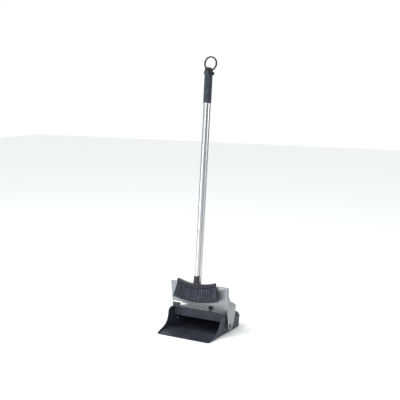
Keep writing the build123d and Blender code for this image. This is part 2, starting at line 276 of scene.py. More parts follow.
def mouth_y(z):
    """How far back the mouth's side edge is at a height. Its line is one curve from the lip
    to the hood, drawn down and back between them."""
    lip, drawn = Vector((-PAN_HALF_LENGTH, 0)), Vector((-57, 25))
    hood_corner = Vector((HOOD_FRONT_Y, HOOD_FRONT_Z + 4))
    below, above = 0.0, 1.0
    for _ in range(20):
        share = (below + above) / 2
        spot = (1 - share) ** 3 * lip + 3 * share * (1 - share) * drawn + share ** 3 * hood_corner
        if spot.y < z:
            below = share
        else:
            above = share
    return spot.x


def round_path(front_y):
    """Plan of the wall at the floor from front left, round the back, to front right."""
    corner_y = PAN_HALF_LENGTH - CORNER_R
    corner_x = half_width(corner_y) - CORNER_R
    left = []
    for step in range(SIDE_STEPS):
        y = front_y + (corner_y - front_y) * (step / SIDE_STEPS) ** 1.6
        left.append((-half_width(y), y, -1, 0))
    for step in range(CORNER_STEPS + 1):
        turn = math.pi / 2 * step / CORNER_STEPS
        left.append((-corner_x - CORNER_R * math.cos(turn), corner_y + CORNER_R * math.sin(turn),
                     -math.cos(turn), math.sin(turn)))
    back = []
    for step in range(1, BACK_STEPS):
        back.append((-corner_x + 2 * corner_x * step / BACK_STEPS, PAN_HALF_LENGTH, 0, 1))
    right = [(-x, y, -nx, ny) for x, y, nx, ny in reversed(left)]
    return left + back + right


def wall_row(level, proud=0):
    """One row of points round the wall. A level is (kind, value): base and top are angles on
    the rolled edges, rise is a share of the way up to the seam, drop a distance below the roof."""
    kind, value = level

    def settle(y):
        inset = -proud
        if kind == "base":
            z = BASE_R * (1 + math.sin(value))
            inset += BASE_R * (1 - math.cos(value))
        elif kind == "top":
            z = roof_z(y) - HOOD_R * (1 - math.sin(value))
            inset += HOOD_R * (1 - math.cos(value))
        elif kind == "drop":
            z = roof_z(y) - value
            if value < HOOD_R:
                inset += HOOD_R - math.sqrt(HOOD_R ** 2 - (HOOD_R - value) ** 2)
        else:
            z = BASE_R + value * (roof_z(y) - SEAM_DROP - BASE_R)
        return z, inset

    front_y = -PAN_HALF_LENGTH
    for _ in range(6):
        front_y = mouth_y(settle(front_y)[0])
    row = []
    for x, y, nx, ny in round_path(front_y):
        z, inset = settle(y)
        out = DRAFT * z - inset
        row.append((x + nx * out, y + ny * out, z))
    return row


def skin(rows):
    """Joins rows of equal length with four-sided faces."""
    points = [p for row in rows for p in row]
    width = len(rows[0])
    faces = []
    for r in range(len(rows) - 1):
        for c in range(width - 1):
            at = r * width + c
            faces.append((at, at + 1, at + width + 1, at + width))
    return points, faces


def level_panel(edge):
    """Flat panel inside a row that runs round the pan: its rows go from side to side."""
    half = SIDE_STEPS + CORNER_STEPS
    rows = []
    for step in range(half):
        left, right = Vector(edge[step]), Vector(edge[-1 - step])
        rows.append([tuple(left.lerp(right, i / BACK_STEPS)) for i in range(BACK_STEPS + 1)])
    rows.append([tuple(p) for p in edge[half:half + BACK_STEPS + 1]])
    return skin(rows)


def gather(*parts):
    points, faces = [], []
    for more_points, more_faces in parts:
        start = len(points)
        points += more_points
        faces += [tuple(start + i for i in face) for face in more_faces]
    return points, faces


def thicken(made, wall, inward=True):
    solid = made.modifiers.new("wall", "SOLIDIFY")
    solid.thickness = wall * MM
    solid.offset = -1 if inward else 0
    solid.use_even_offset = True
    return made


def ease(made, width, segments=2, angle=40):
    soft = made.modifiers.new("eased_edges", "BEVEL")
    soft.width = width * MM
    soft.segments = segments
    soft.limit_method = "ANGLE"
    soft.angle_limit = math.radians(angle)
    return made


def facing(made, direction, near):
    """Turns the whole skin over if its face nearest a point looks the wrong way."""
    face = min(made.data.polygons, key=lambda p: (p.center - Vector(near) * MM).length)
    if face.normal.dot(Vector(direction)) < 0:
        made.data.flip_normals()
    return made


def moulded(name, color, rough, dust):
    """Injection-moulded plastic: fine texture, faint flow streaks, a little dust in broad random lighter
    patches.
    """
    plastic = Finish(name, IOR=1.4)
    fine = plastic.grain(900, 2, 0.6)
    broad = plastic.grain(14, 4, 0.6, (1, 1, 2))
    lighter = tuple(min(1, c * 1.9 + dust) for c in color)
    plastic.set(Base_Color=plastic.blend(plastic.ramp(broad, 0.35, 0.8), color, lighter),
                Roughness=rough + (broad - 0.5) * 0.18 + (fine - 0.5) * 0.08)
    plastic.bump(fine * 0.7 + broad * 0.3, 0.12, 0.0004)
    return plastic


pan_plastic = moulded("pan_plastic", (0.017, 0.0185, 0.027), 0.45, 0.006)

base_levels = [("base", -math.pi / 2 + math.pi / 2 * i / 5) for i in range(6)]
rise_levels = [("rise", i / 12) for i in range(1, 13)]
tray_rows = [wall_row(level) for level in base_levels + rise_levels]
tray = piece("pan_tray_shell", *gather(skin(tray_rows), level_panel(tray_rows[0])), sharp=50)
facing(tray, (0, 0, -1), (0, 0, 0))
ease(thicken(tray, WALL), 0.9, 3, 60)
keep(tray, pan_plastic, "pan", ["pan_tray"])

hood_levels = [("drop", SEAM_DROP), ("drop", SEAM_DROP - 1.5)]
hood_levels += [("top", math.pi / 2 * i / 14) for i in range(15)]
hood_rows = [wall_row(level) for level in hood_levels]
band_levels = [(SEAM_DROP, 0), (SEAM_DROP - 0.4, 1.2), (SEAM_DROP - BAND, 1.2), (SEAM_DROP - BAND - 0.8, 0)]
band_rows = [wall_row(("drop", drop), proud) for drop, proud in band_levels]
hood = piece("pan_hood_shell", *gather(skin(hood_rows), level_panel(hood_rows[-1])), sharp=50)
facing(hood, (0, 0, 1), (0, 40, 78))
ease(thicken(hood, WALL), 0.9, 3, 60)
keep(hood, pan_plastic, "pan", ["pan_hood"])
band = piece("hood_band", *skin(band_rows), sharp=50)
facing(band, (0, 1, 0), (0, PAN_HALF_LENGTH + 4, 48))
thicken(band, 1.6)
keep(band, pan_plastic, "pan")


def settled(holder):
    """The plain mesh that an object's curve or modifiers come to. The object itself goes."""
    bpy.context.collection.objects.link(holder)
    bpy.context.view_layer.update()
    mesh = bpy.data.meshes.new_from_object(holder.evaluated_get(bpy.context.evaluated_depsgraph_get()))
    bpy.data.objects.remove(holder)
    return mesh


def bead(name, path, radius, finish, body, sides=4):
    """A round bar with flat ends that follows a path."""
    curve = bpy.data.curves.new(name, "CURVE")
    curve.dimensions = "3D"
    curve.bevel_depth = radius * MM
    curve.bevel_resolution = sides
    curve.use_fill_caps = True
    run = curve.splines.new("POLY")
    run.points.add(len(path) - 1)
    for point, spot in zip(run.points, path):
        point.co = (*(spot * MM), 1)
    round_bar = settled(bpy.data.objects.new(name + "_path", curve))
    round_bar.shade_smooth()
    made = bpy.data.objects.new(name, round_bar)
    bpy.context.collection.objects.link(made)
    return keep(made, finish, body)


BEAD_R = 1.9
MOUTH_MIDDLE_Z = 40
edge_rows = tray_rows[3:] + hood_rows[1:]
left_edge = [Vector(row[0]) for row in edge_rows]
right_edge = [Vector(row[-1]) for row in edge_rows]
across = [left_edge[-1].lerp(right_edge[-1], i / 20) for i in range(1, 20)]
mouth_line = [p + Vector((-p.x / LIP_HALF, 0.3, (MOUTH_MIDDLE_Z - p.z) / 60)) * 1.2
              for p in left_edge + across + right_edge[::-1]]
bead("mouth_bead", mouth_line, BEAD_R, pan_plastic, "pan")


def between(name, first, second, sharp=35):
    """A solid between two matching outlines."""
    count = len(first)
    faces = [tuple(range(count))[::-1], tuple(range(count, 2 * count))]
    faces += [(i, (i + 1) % count, count + (i + 1) % count, count + i) for i in range(count)]
    return piece(name, first + second, faces, sharp)


def bar(name, outline, start_x, end_x, sharp=30):
    """A bar along X whose section is an outline of (y, z) points."""
    return between(name, [(start_x, y, z) for y, z in outline], [(end_x, y, z) for y, z in outline], sharp)


RAMP_SECTION = [(-133, 2.2), (-118, 4.6), (-95, 7.2), (-72, 9.8), (-60, 11.2), (-55, 11.7), (-51.5, 11.3),
                (-49, 9.6), (-47.2, 6.4), (-46, 2.2)]
ramp = bar("dirt_ramp", RAMP_SECTION, -LIP_HALF + 2.2, LIP_HALF - 2.2, 25)
for vertex in ramp.data.vertices:
    side = math.copysign(1, vertex.co.x)
    z = vertex.co.z / MM
    vertex.co.x = side * (half_width(vertex.co.y / MM) + DRAFT * z - WALL + 0.4) * MM
keep(ramp, pan_plastic, "pan")

keeper = bar("keeper_post", [(-15.1, 90), (-12.1, 90), (-12.1, 98.7), (-12.7, 99.5), (-14.5, 99.5),
                             (-15.1, 98.7)], 54, 62)
ease(keeper, 0.5, 2)
keep(keeper, pan_plastic, "pan")

# The baffle gets a lighter copy of the pan's black plastic: painted light on a panel that sits in shade
# inside the hood.
baffle_plastic = moulded("baffle_plastic", (0.029, 0.032, 0.047), 0.42, 0.008)
BAFFLE_Y = -3
baffle_top = roof_z(BAFFLE_Y) - WALL
baffle_half = half_width(BAFFLE_Y) + DRAFT * 50 - WALL
baffle_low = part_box("inner_baffle")[0][2] / MM


def arc(centre, radius, start, end, steps):
    """Points along an arc between two angles in degrees."""
    return [(centre[0] + radius * math.cos(math.radians(start + (end - start) * k / steps)),
             centre[1] + radius * math.sin(math.radians(start + (end - start) * k / steps)))
            for k in range(steps + 1)]


inner_r = HOOD_R - WALL
baffle_rim = [(baffle_half - 0.9, baffle_low)]
baffle_rim += arc((baffle_half - inner_r, baffle_top - inner_r), inner_r, 0, 90, 8)
baffle_rim += [(-x, z) for x, z in reversed(baffle_rim)]
baffle = between("baffle_panel", [(x, BAFFLE_Y - 1, z) for x, z in baffle_rim],
                 [(x, BAFFLE_Y + 1, z) for x, z in baffle_rim])
ease(baffle, 0.4)
keep(baffle, baffle_plastic, "pan", ["inner_baffle"])

# --------------------------------------------------------------- the pivots
# On each side a domed steel pin goes through the cheek, a black spacer washer
# and the pan's boss, and a push-on retainer holds its inner end.
PIVOT = Vector(frame["record"]["behaviour"]["joints"][0]["pos_m"]) / MM


def turned(name, profile, origin, basis, sides=64, sharp=35, lobes=0, lobe_depth=0.0):
    """A round piece from (radius, distance) pairs. The basis columns are its two side
    directions and its axis. Lobes are shallow ribs running along it."""
    points, faces = [], []
    rim = []
    for radius, along in profile:
        if radius < 0.001:
            rim.append([len(points)])
            points.append(origin + basis @ Vector((0, 0, along)))
            continue
        ring = []
        for step in range(sides):
            turn = 2 * math.pi * step / sides
            reach = radius
            if lobes:
                reach -= lobe_depth * (0.5 - 0.5 * math.cos(turn * lobes)) ** 2
            ring.append(len(points))
            points.append(origin + basis @ Vector((reach * math.cos(turn), reach * math.sin(turn), along)))
        rim.append(ring)
    for lower, upper in zip(rim, rim[1:]):
        for step in range(sides):
            after = (step + 1) % sides
            if len(lower) == 1 and len(upper) == 1:
                continue
            if len(lower) == 1:
                faces.append((lower[0], upper[after], upper[step]))
            elif len(upper) == 1:
                faces.append((lower[step], lower[after], upper[0]))
            else:
                faces.append((lower[step], lower[after], upper[after], upper[step]))
    return piece(name, points, faces, sharp)


def metal(name, color, rough, stretch, turn=(0, 0, 0), depth=0.00004):
    """Metal with drawn or brushed lines along one direction and faint cloudy handling marks."""
    steel = Finish(name, Metallic=1.0)
    lines = steel.grain(1, 4, 0.65, stretch, turn)
    clouds = steel.grain(9, 3, 0.55)
    dark = tuple(c * 0.82 for c in color)
    steel.set(Base_Color=steel.blend(steel.ramp(lines * 0.6 + clouds * 0.4, 0.3, 0.7), dark, color),
              Roughness=rough + (lines - 0.5) * 0.22 + (clouds - 0.5) * 0.12)
    steel.bump(lines, 0.35, depth)
    return steel


fixing_steel = metal("fixing_steel", (0.62, 0.62, 0.62), 0.3, (300, 300, 300))
pin_steel = metal("pin_steel", (0.1, 0.1, 0.105), 0.35, (300, 300, 300))
washer_nylon = moulded("washer_nylon", (0.03, 0.03, 0.034), 0.5, 0.01)
for side, word in ((1, "right"), (-1, "left")):
    outward = Matrix(((0, 0, side), (side, 0, 0), (0, 1, 0)))
    start = Vector((0, PIVOT.y, PIVOT.z))
    boss = turned("pivot_boss_" + word,
                  [(14.2, 121.6), (13.4, 123.8), (13, 124.8), (13, 128.9), (12.4, 129.5), (4.1, 129.5),
                   (4.1, 119.5)], start, outward)
    keep(boss, pan_plastic, "pan")
    washer = turned("spacer_" + word,
                    [(4.1, 129.5), (9.5, 129.5), (10, 130), (10, 132.7), (9.5, 133.2), (4.1, 133.2),
                     (4.1, 129.5)], start, outward)
    keep(washer, washer_nylon, "pan", ["pivot_washer_" + word])
    pin = turned("pin_" + word,
                 [(0, 116), (3.4, 116), (4, 116.6), (4, 135), (8.6, 135), (9, 135.4), (8.8, 136.2),
                  (7.8, 137.1), (6, 137.8), (3.6, 138.15), (0, 138.2)], start, outward)
    keep(pin, pin_steel, "frame", ["pivot_pin_" + word])
    retainer = turned("retainer_" + word,
                      [(4, 117.2), (4.8, 117), (6.4, 117.3), (7, 118), (7, 118.8), (6.6, 119), (4, 119),
                       (4, 117.2)], start, outward)
    keep(retainer, fixing_steel, "frame", ["pin_retainer_" + word])

# ----------------------------------------------------------- the steel frame
# One blank of 1.5 mm brushed sheet steel. Its sides are bent back into two
# cheeks, its top into a shelf for the pole, and its lower edge is rolled.
SHEET = 1.5
HALF = 135
BEND_R = 4
MID_R = BEND_R - SHEET / 2
PLATE_LOW = Vector((0, -6, 108))
LEAN = math.radians(6.34)
PLATE_UP = Vector((0, -math.sin(LEAN), math.cos(LEAN)))
PLATE_BACK = Vector((0, math.cos(LEAN), math.sin(LEAN)))
SIDE_BEND = HALF - BEND_R
SIDE_END = SIDE_BEND + MID_R * math.pi / 2
SHELF_ANGLE = math.radians(102.04)
SHELF_BEND = 85.72
SHELF_END = SHELF_BEND + MID_R * SHELF_ANGLE
SHELF_LENGTH = SHELF_END + 15.2
HEM_R = 1.55
HEM_LENGTH = HEM_R * math.radians(305)
HEM_HALF = 129
HEM_START = -1.2


def rounded(corners, step=9):
    """Outline through corners given as (x, y, radius), each corner cut by an arc."""
    outline = []
    count = len(corners)
    for i, (x, y, radius) in enumerate(corners):
        here = Vector((x, y))
        back = Vector(corners[i - 1][:2]) - here
        on = Vector(corners[(i + 1) % count][:2]) - here
        if radius <= 0:
            outline.append((x, y))
            continue
        turn = math.pi - back.angle(on)
        reach = min(radius * math.tan(turn / 2), 0.49 * min(back.length, on.length))
        radius = reach / math.tan(turn / 2)
        centre = here + (back.normalized() + on.normalized()).normalized() * math.hypot(reach, radius)
        arm = here + back.normalized() * reach - centre
        last = here + on.normalized() * reach - centre
        sweep = math.atan2(arm.x * last.y - arm.y * last.x, arm.dot(last))
        parts = max(2, int(math.degrees(turn) / step))
        for k in range(parts + 1):
            angle = math.atan2(arm.y, arm.x) + sweep * k / parts
            outline.append((centre.x + radius * math.cos(angle), centre.y + radius * math.sin(angle)))
    return outline


def cheek(depth, up):
    """Place on the flat blank of a point on the cheek, behind the plate's face."""
    return SIDE_END + depth - BEND_R, up


right_side = [(HEM_HALF, HEM_START - HEM_LENGTH, 0.8), (HEM_HALF, HEM_START - 0.2, 0),
              (132.9, HEM_START - 0.2, 1.5), (132.9, -93.6, 13.6), (*cheek(27.5, -93.2), 10),
              (*cheek(41.75, -77.1), 22), (*cheek(62, -42.1), 40), (*cheek(72.95, -4.5), 4),
              (*cheek(28, 26), 16), (*cheek(17.5, 48.4), 20), (*cheek(19.6, 86.5), 2.5),
              (129.4, 90.3, 1), (129.4, 85, 0), (128.2, 85, 0), (128.2, SHELF_LENGTH, 4)]
blank_corners = right_side + [(-x, y, r) for x, y, r in reversed(right_side)]
blank = rounded(blank_corners)

blank_mesh = bmesh.new()
rim_verts = [blank_mesh.verts.new((x * MM, y * MM, 0)) for x, y in blank]
blank_mesh.faces.new(rim_verts)
cuts = []
for side in (-1, 1):
    cuts += [((side * (SIDE_BEND + (SIDE_END - SIDE_BEND) * k / 8), 0, 0), (1, 0, 0)) for k in range(9)]
cuts += [((0, SHELF_BEND + (SHELF_END - SHELF_BEND) * k / 8, 0), (0, 1, 0)) for k in range(9)]
cuts += [((0, HEM_START - HEM_LENGTH * k / 20, 0), (0, 1, 0)) for k in range(20)]
for spot, normal in cuts:
    bmesh.ops.bisect_plane(blank_mesh, geom=blank_mesh.verts[:] + blank_mesh.edges[:] + blank_mesh.faces[:],
                           plane_co=Vector(spot) * MM, plane_no=normal, dist=0.0000005)


def bend(u, up):
    """Where a point of the flat blank goes: (x, distance behind the plate's face, up)."""
    mid = SHEET / 2
    if up < HEM_START and abs(u) < HEM_HALF + 0.5:
        turn = (HEM_START - up) / HEM_R
        return u, mid - HEM_R + HEM_R * math.cos(turn), HEM_START - HEM_R * math.sin(turn)
    if up > SHELF_BEND and abs(u) < 129:
        turn = min((up - SHELF_BEND) / MID_R, SHELF_ANGLE)
        rest = max(0, up - SHELF_END)
        return (u, BEND_R - MID_R * math.cos(turn) + rest * math.sin(turn),
                SHELF_BEND + MID_R * math.sin(turn) + rest * math.cos(turn))
    if abs(u) > SIDE_BEND:
        turn = min((abs(u) - SIDE_BEND) / MID_R, math.pi / 2)
        rest = max(0, abs(u) - SIDE_END)
        x = SIDE_BEND + MID_R * math.sin(turn)
        return math.copysign(x, u), BEND_R - MID_R * math.cos(turn) + rest, up
    return u, mid, up


for vertex in blank_mesh.verts:
    x, depth, up = bend(vertex.co.x / MM, vertex.co.y / MM)
    vertex.co = (Vector((x, 0, 0)) + PLATE_LOW + PLATE_BACK * depth + PLATE_UP * up) * MM
plate_mesh = bpy.data.meshes.new("frame_sheet")
bmesh.ops.recalc_face_normals(blank_mesh, faces=blank_mesh.faces)
blank_mesh.to_mesh(plate_mesh)
blank_mesh.free()
plate_mesh.shade_smooth()
plate_mesh.set_sharp_from_angle(angle=math.radians(40))
plate = bpy.data.objects.new("frame_sheet", plate_mesh)
bpy.context.collection.objects.link(plate)
thicken(plate, SHEET, inward=False)
ease(plate, 0.3, 2, 60)
sheet_steel = metal("sheet_steel", (0.38, 0.4, 0.41), 0.48, (12, 900, 900))
keep(plate, sheet_steel, "frame", ["frame_plate"])
# The rolled hem is the same sheet steel but gets its own, much lighter and less rough finish: the lower
# roughness is its polish, the lighter colour is a painted highlight along the rolled edge.
hem_steel_painted_highlight = metal("hem_steel_painted_highlight", (0.88, 0.89, 0.9), 0.16, (8, 500, 500))
hem_middle = PLATE_LOW + PLATE_BACK * (SHEET / 2 - HEM_R) + PLATE_UP * HEM_START
hem_path = [hem_middle + Vector((-HEM_HALF + 2 * HEM_HALF * k / 24, 0, 0)) for k in range(25)]
bead("rolled_hem", hem_path, HEM_R + SHEET / 2 + 0.03, hem_steel_painted_highlight, "frame", sides=6)

# ----------------------------------------------------------------- the catch
# A black moulded slide that wraps the rolled edge, with a tongue that stands
# behind the keeper post and a low ridge for the finger across its face.
trim_plastic = moulded("trim_plastic", (0.012, 0.012, 0.013), 0.42, 0.004)
CATCH_LOW, CATCH_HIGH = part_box("lock_catch")
HEM_CENTRE = (SHEET / 2 - HEM_R, HEM_START)


def on_plate(depth, up):
    """The (y, z) of a point given from the plate's lower front edge."""
    spot = PLATE_LOW + PLATE_BACK * depth + PLATE_UP * up
    return spot.y, spot.z


WRAP_OUTER_R = 4.5
WRAP_INNER_R = 2.6
wrap = arc(HEM_CENTRE, WRAP_OUTER_R, 84, 190, 10)
wrap += [(-5.2, -3.6), (-5.1, -5), (-5.4, -5.4), (-5.4, -6.3), (-5.1, -6.7), (-5.0, -8.4), (-4.8, -9.6),
         (-4.2, -10.2), (-2.4, -10.2), (-1.8, -9.6), (-1.8, -6)]
wrap += arc(HEM_CENTRE, WRAP_OUTER_R, 278, 415, 14)
wrap += [(1.9, 1.0), (1.9, HEM_CENTRE[1])]
wrap += arc(HEM_CENTRE, WRAP_INNER_R, 358, 80, 24)
catch = bar("catch_slide", [on_plate(depth, up) for depth, up in wrap], CATCH_LOW[0] / MM,
            CATCH_HIGH[0] / MM)
ease(catch, 0.35, 2, 50)
keep(catch, trim_plastic, "catch", ["lock_catch"])

# ----------------------------------------------------------------- the poles
# Two straight drawn aluminium tubes, 18 mm across. The pan's stands on a
# plastic foot plug, pulled down onto the shelf by a screw from below.
FORWARD = Vector(frame["record"]["behaviour"]["joints"][2]["axis"]).normalized()
POLE = Matrix(((1, 0, 0), (0, -FORWARD.y, FORWARD.z), (0, -FORWARD.z, -FORWARD.y)))
POLE_R = 9
BORE_R = 7.8


def foot_of(node, radius):
    """Centre of a round piece's lower end, and its length along the pole."""
    low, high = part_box(node)
    lean, rise = POLE[1][2], POLE[2][2]
    start = Vector((0, low[1] / MM + radius * rise, low[2] / MM + radius * lean))
    end = Vector((0, high[1] / MM - radius * rise, high[2] / MM - radius * lean))
    return start, (end - start).length


pole_aluminium = metal("pole_aluminium", (0.6, 0.61, 0.62), 0.22, (1400, 1400, 14),
                       (math.asin(POLE[1][2]), 0, 0))
pan_foot, pan_length = foot_of("pan_pole", POLE_R)
brush_foot, brush_length = foot_of("brush_pole", POLE_R)
for name, node, foot, length, body in (("pan_tube", "pan_pole", pan_foot, pan_length, "frame"),
                                       ("brush_tube", "brush_pole", brush_foot, brush_length, "brush")):
    profile = [(BORE_R, 0), (POLE_R - 0.3, 0), (POLE_R, 0.3)]
    profile += [(POLE_R, length * k / 12) for k in range(1, 12)]
    profile += [(POLE_R, length - 0.3), (POLE_R - 0.3, length), (BORE_R, length), (BORE_R, 0)]
    tube = turned(name, profile, foot, POLE, 72)
    keep(tube, pole_aluminium, body, [node])

plug_foot = foot_of("pole_plug", POLE_R)[0]
plug = turned("foot_plug",
              [(2.5, 0), (8.6, 0), (9, 0.4), (9, 2), (7.8, 2), (7.8, 25), (7, 26), (0, 26), (0, 18),
               (2.5, 18), (2.5, 0)], plug_foot, POLE)
keep(plug, trim_plastic, "frame", ["pole_plug"])
screw = turned("foot_screw",
               [(0, -3.2), (1.6, -3.2), (1.6, -4.5), (3.4, -4.5), (4.5, -3.8), (4.6, -1.9), (4.6, -1.5),
                (2.5, -1.5), (2.5, 15), (1.8, 15.5), (0, 15.5)], plug_foot, POLE, 48)
keep(screw, fixing_steel, "frame", ["pole_screw"])
brush_plug = turned("tube_plug", [(0, 0), (7.3, 0), (7.8, 0.5), (7.8, 25.5), (7.3, 26), (0, 26)],
                    brush_foot, POLE, 48)
keep(brush_plug, trim_plastic, "brush", ["brush_plug"])

# ----------------------------------------------------------------- the grips
# Dark blue-grey soft sleeves with lengthwise ribs, pushed over the tops of
# the tubes.
GRIP_R = 10.75
RIBS = 20
grip_rubber = Finish("grip_rubber", IOR=1.5)
grip_cloud = grip_rubber.grain(30, 4, 0.6)
grip_fine = grip_rubber.grain(1600, 2, 0.5)
grip_rubber.set(Base_Color=grip_rubber.blend(grip_rubber.ramp(grip_cloud, 0.3, 0.75), (0.018, 0.023, 0.035),
                                             (0.045, 0.055, 0.075)),
                Roughness=0.5 + (grip_cloud - 0.5) * 0.2 + (grip_fine - 0.5) * 0.1)
grip_rubber.bump(grip_fine, 0.2, 0.0003)
for name, node, body in (("pan_sleeve", "pan_grip", "frame"), ("brush_sleeve", "brush_grip", "brush")):
    foot, length = foot_of(node, GRIP_R)
    plain = turned(name + "_collar",
                   [(9, 0), (9.9, 0), (10.5, 0.5), (GRIP_R, 1.2), (GRIP_R, 6), (10.3, 6.8), (9.6, 7.2),
                    (9, 7.2), (9, 0)], foot, POLE, 80)
    keep(plain, grip_rubber, body)
    profile = [(9, 6), (9.8, 6)] + [(GRIP_R, 8 + (length - 16) * k / 14) for k in range(15)]
    profile += [(9.8, length - 6.2), (9, length - 6.2), (9, 6)]
    sleeve = turned(name, profile, foot, POLE, RIBS * 8, 60, RIBS, 0.9)
    keep(sleeve, grip_rubber, body, [node])
    ring = turned(name + "_top",
                  [(9, length - 7), (9.8, length - 7), (GRIP_R, length - 6), (GRIP_R, length - 0.8),
                   (10.2, length), (9, length), (9, length - 7)], foot, POLE, 80)
    keep(ring, grip_rubber, body)

# ------------------------------------------------- caps, loop and brush fork
# Black mouldings at the top: the pan's cap holds a flat hanging loop, a fork
# clamped on its grip carries the brush, and the brush's cap has a collar that
# rests on the fork.
pan_top = pan_foot + POLE @ Vector((0, 0, pan_length))
brush_top = brush_foot + POLE @ Vector((0, 0, brush_length))
LOOP_R = 30
LOOP_HALF = 3
loop_low, loop_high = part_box("hanging_loop")
loop_centre = (Vector(loop_low) + Vector(loop_high)) / (2 * MM)
LOOP_DEPTH = 3.5
LOOP_STEPS = 120
loop_section = rounded([(-LOOP_HALF, -LOOP_DEPTH, 2), (LOOP_HALF, -LOOP_DEPTH, 2),
                        (LOOP_HALF, LOOP_DEPTH, 2), (-LOOP_HALF, LOOP_DEPTH, 2)], 20)


def loop_row(turn):
    row = []
    for out, depth in loop_section + loop_section[:1]:
        from_centre = LOOP_R - LOOP_HALF + out
        row.append(loop_centre + POLE @ Vector((from_centre * math.cos(turn), depth,
                                                from_centre * math.sin(turn))))
    return row


loop_rows = [loop_row(math.tau * step / LOOP_STEPS) for step in range(LOOP_STEPS + 1)]
loop = piece("loop_ring", *skin(loop_rows), sharp=60)
keep(loop, trim_plastic, "frame", ["hanging_loop"])

CAP_R = 11.2
pan_cap = turned("pan_cap_body",
                 [(0, -20), (7, -20), (7.8, -19), (7.8, 0), (10.6, 0), (CAP_R, 0.6), (CAP_R, 6.8),
                  (10.9, 8.2), (10, 9), (0, 9)], pan_top, POLE, 72)
keep(pan_cap, trim_plastic, "frame", ["pan_cap"])
FRONT_EDGE = 3.6
edge_turn = math.degrees(math.asin(FRONT_EDGE / CAP_R))
front_outline = arc((0, 0), CAP_R, 180 + edge_turn, 360 - edge_turn, 24)
cap_front = between("pan_cap_front", [pan_top + POLE @ Vector((x, y, 6)) for x, y in front_outline],
                    [pan_top + POLE @ Vector((x, y, 16.9)) for x, y in front_outline], 40)
ease(cap_front, 1.4, 4, 50)
keep(cap_front, trim_plastic, "frame")

brush_cap = turned("brush_cap_body",
                   [(0, -20), (7, -20), (7.8, -19), (7.8, 0), (11.3, 0), (11.8, 0.5), (11.8, 3.4), (11.3, 4),
                    (10.6, 4.2), (10.5, 5), (10.5, 14.2), (9.9, 16.2), (8.4, 17.1), (4, 17.45), (0, 17.5)],
                   brush_top, POLE, 72)
keep(brush_cap, trim_plastic, "brush", ["brush_cap"])

FORK_WIDE = 12.85
FORK_GAP = 11.05
FORK_REACH = 30
FORK_DEEP = 11.7
SPACING = 24
LUG_OUT = 18.5
LUG_HALF = 3.5
fork_outline = [(FORK_WIDE, -LUG_HALF), (LUG_OUT - 0.6, -LUG_HALF), (LUG_OUT, 0.6 - LUG_HALF),
                (LUG_OUT, LUG_HALF - 0.6), (LUG_OUT - 0.6, LUG_HALF)]
fork_outline += arc((0, 0), FORK_WIDE, math.degrees(math.asin(LUG_HALF / FORK_WIDE)), 180, 30)
fork_outline += [(-FORK_WIDE, 1.5 - FORK_REACH), (0.8 - FORK_WIDE, -FORK_REACH),
                 (-FORK_GAP - 0.85, -FORK_REACH), (-FORK_GAP, 1.2 - FORK_REACH)]
fork_outline += arc((0, -SPACING), FORK_GAP, 180, 0, 24)
fork_outline += [(FORK_GAP, 1.2 - FORK_REACH), (FORK_GAP + 0.85, -FORK_REACH),
                 (FORK_WIDE - 0.8, -FORK_REACH), (FORK_WIDE, 1.5 - FORK_REACH)]
fork_hole = arc((0, 0), GRIP_R, 0, 360, 64)[:-1]


def cut_out(name, outlines, thick, edge):
    """A flat moulding from an outline and its holes, with rolled edges, centred on its plane."""
    curve = bpy.data.curves.new(name, "CURVE")
    curve.dimensions = "2D"
    curve.fill_mode = "BOTH"
    curve.extrude = (thick / 2 - edge) * MM
    curve.bevel_depth = edge * MM
    curve.bevel_resolution = 2
    curve.offset = -edge * MM
    for outline in outlines:
        run = curve.splines.new("POLY")
        run.points.add(len(outline) - 1)
        for point, (x, y) in zip(run.points, outline):
            point.co = (x * MM, y * MM, 0, 1)
        run.use_cyclic_u = True
    flat = settled(bpy.data.objects.new(name + "_outline", curve))
    points = [v.co / MM for v in flat.vertices]
    faces = [tuple(p.vertices) for p in flat.polygons]
    bpy.data.meshes.remove(flat)
    return points, faces


fork_points, fork_faces = cut_out("fork", [fork_outline, fork_hole], FORK_DEEP, 0.6)
fork_mid = pan_top + POLE @ Vector((0, 0, -0.3 - FORK_DEEP / 2))
fork = piece("fork_clamp", [fork_mid + POLE @ p for p in fork_points], fork_faces, 40)
keep(fork, trim_plastic, "frame", ["brush_fork"])
SIDEWAYS = Matrix(((1, 0, 0), (0, 0, -1), (0, 1, 0)))
lug_face = fork_mid + POLE @ Vector((15.6, -3.3, 0))
clamp_screw = turned("clamp_screw",
                     [(0, 0.7), (0.9, 0.7), (1.1, 1.3), (2, 1.3), (2.4, 0.9), (2.4, -0.5), (0, -0.5)],
                     lug_face, POLE @ SIDEWAYS, 32)
keep(clamp_screw, trim_plastic, "frame")

# ----------------------------------------------------------- the brush block
# A glossy moulded bar, higher at its ends than in the middle, with a tapered
# socket that the brush pole is pushed into.
BLOCK_HALF = 92
BLOCK_DEPTH = 22
MID_TOP, END_TOP, MID_LOW, END_LOW = -3.8, 12, -18.8, -2
BLOCK_STATIONS = 60
END_ROUND = 9
block_plastic = moulded("block_plastic", (0.008, 0.009, 0.013), 0.25, 0.004)


def sagging(middle_height, end_height, x):
    return middle_height + (end_height - middle_height) * (x / BLOCK_HALF) ** 2


def block_section(x):
    top, low = sagging(MID_TOP, END_TOP, x), sagging(MID_LOW, END_LOW, x)
    past = max(0.0, (abs(x) - BLOCK_HALF + END_ROUND) / END_ROUND)
    half = BLOCK_DEPTH / 2 * (0.2 + 0.8 * math.sqrt(max(0.0, 1 - past ** 2)))
    rim = min(3.2, half * 0.8)
    drop = 1.6 * past ** 2
    outline = rounded([(-half, low + drop, rim * 0.4), (half, low + drop, rim * 0.4),
                       (half, top - drop, rim), (-half, top - drop, rim)], 15)
    return [(x, y, z) for y, z in outline + outline[:1]]


